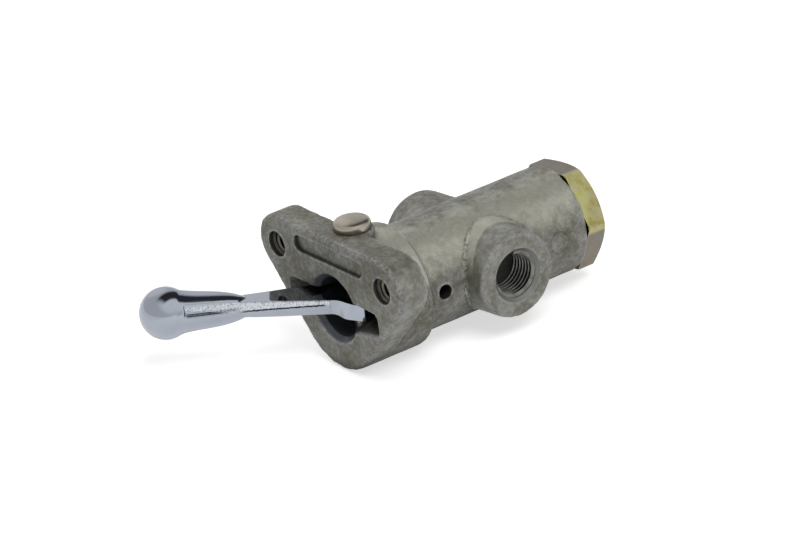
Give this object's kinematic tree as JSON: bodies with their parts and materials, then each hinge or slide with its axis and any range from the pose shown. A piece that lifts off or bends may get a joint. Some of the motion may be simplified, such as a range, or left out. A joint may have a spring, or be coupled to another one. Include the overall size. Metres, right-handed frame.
{
  "type": "air brake dash control valve",
  "caption": "Dash-mounted hand lever valve: round cast body with a two-screw flange, two pipe ports, a hexagon cap nut and a ball-ended lever that swings to push the plunger.",
  "frame": {"origin": "where the valve's axis leaves the flat front face of the flange", "axes": "+Y back along the valve's axis towards the cap nut, +X along the delivery port out of the body, +Z along the pivot pin towards its domed head"},
  "size_m": [0.0559, 0.0926, 0.0313],
  "materials": {
    "cast_body": "dull olive-grey zinc casting, burnished on its high spots",
    "chrome_lever": "bright chrome plating",
    "pin_plating": "champagne yellow zinc plating",
    "nut_plating": "worn yellow zinc plating",
    "brass": "turned brass",
    "spring_steel": "spring wire",
    "black_rubber": "black nitrile rubber"
  },
  "bodies": {
    "housing": {"valve_body": "cast_body", "pivot_pin": "pin_plating", "spring_washer": "spring_steel", "return_spring": "spring_steel", "inlet_seat": "brass", "inlet_spring": "spring_steel", "cap_nut": "nut_plating", "cap_nut_seal": "black_rubber"},
    "lever": {"control_lever": "chrome_lever"},
    "plunger": {"plunger": "brass", "plunger_head_seal": "black_rubber", "plunger_stem_seal": "black_rubber"},
    "inlet_valve": {"valve_disc": "black_rubber", "valve_holder": "brass"}
  },
  "joints": [
    {"name": "lever_swing", "type": "hinge", "parent": "housing", "child": "lever", "pos_m": [0, 0.007, 0], "axis": [0, 0, 1], "range_deg": [0, 79.6]},
    {"name": "plunger_slide", "type": "slide", "parent": "housing", "child": "plunger", "axis": [0, 1, 0], "range_m": [0, 0.002], "deforming": ["return_spring"]},
    {"name": "valve_slide", "type": "slide", "parent": "housing", "child": "inlet_valve", "axis": [0, 1, 0], "range_m": [0, 0.0013], "deforming": ["inlet_spring"]}
  ],
  "couplings": [
    {"joint": "plunger_slide", "follows": "lever_swing", "m_per_rad": 0.001439},
    {"joint": "valve_slide", "follows": "lever_swing", "m_per_rad": 0.000935}
  ]
}
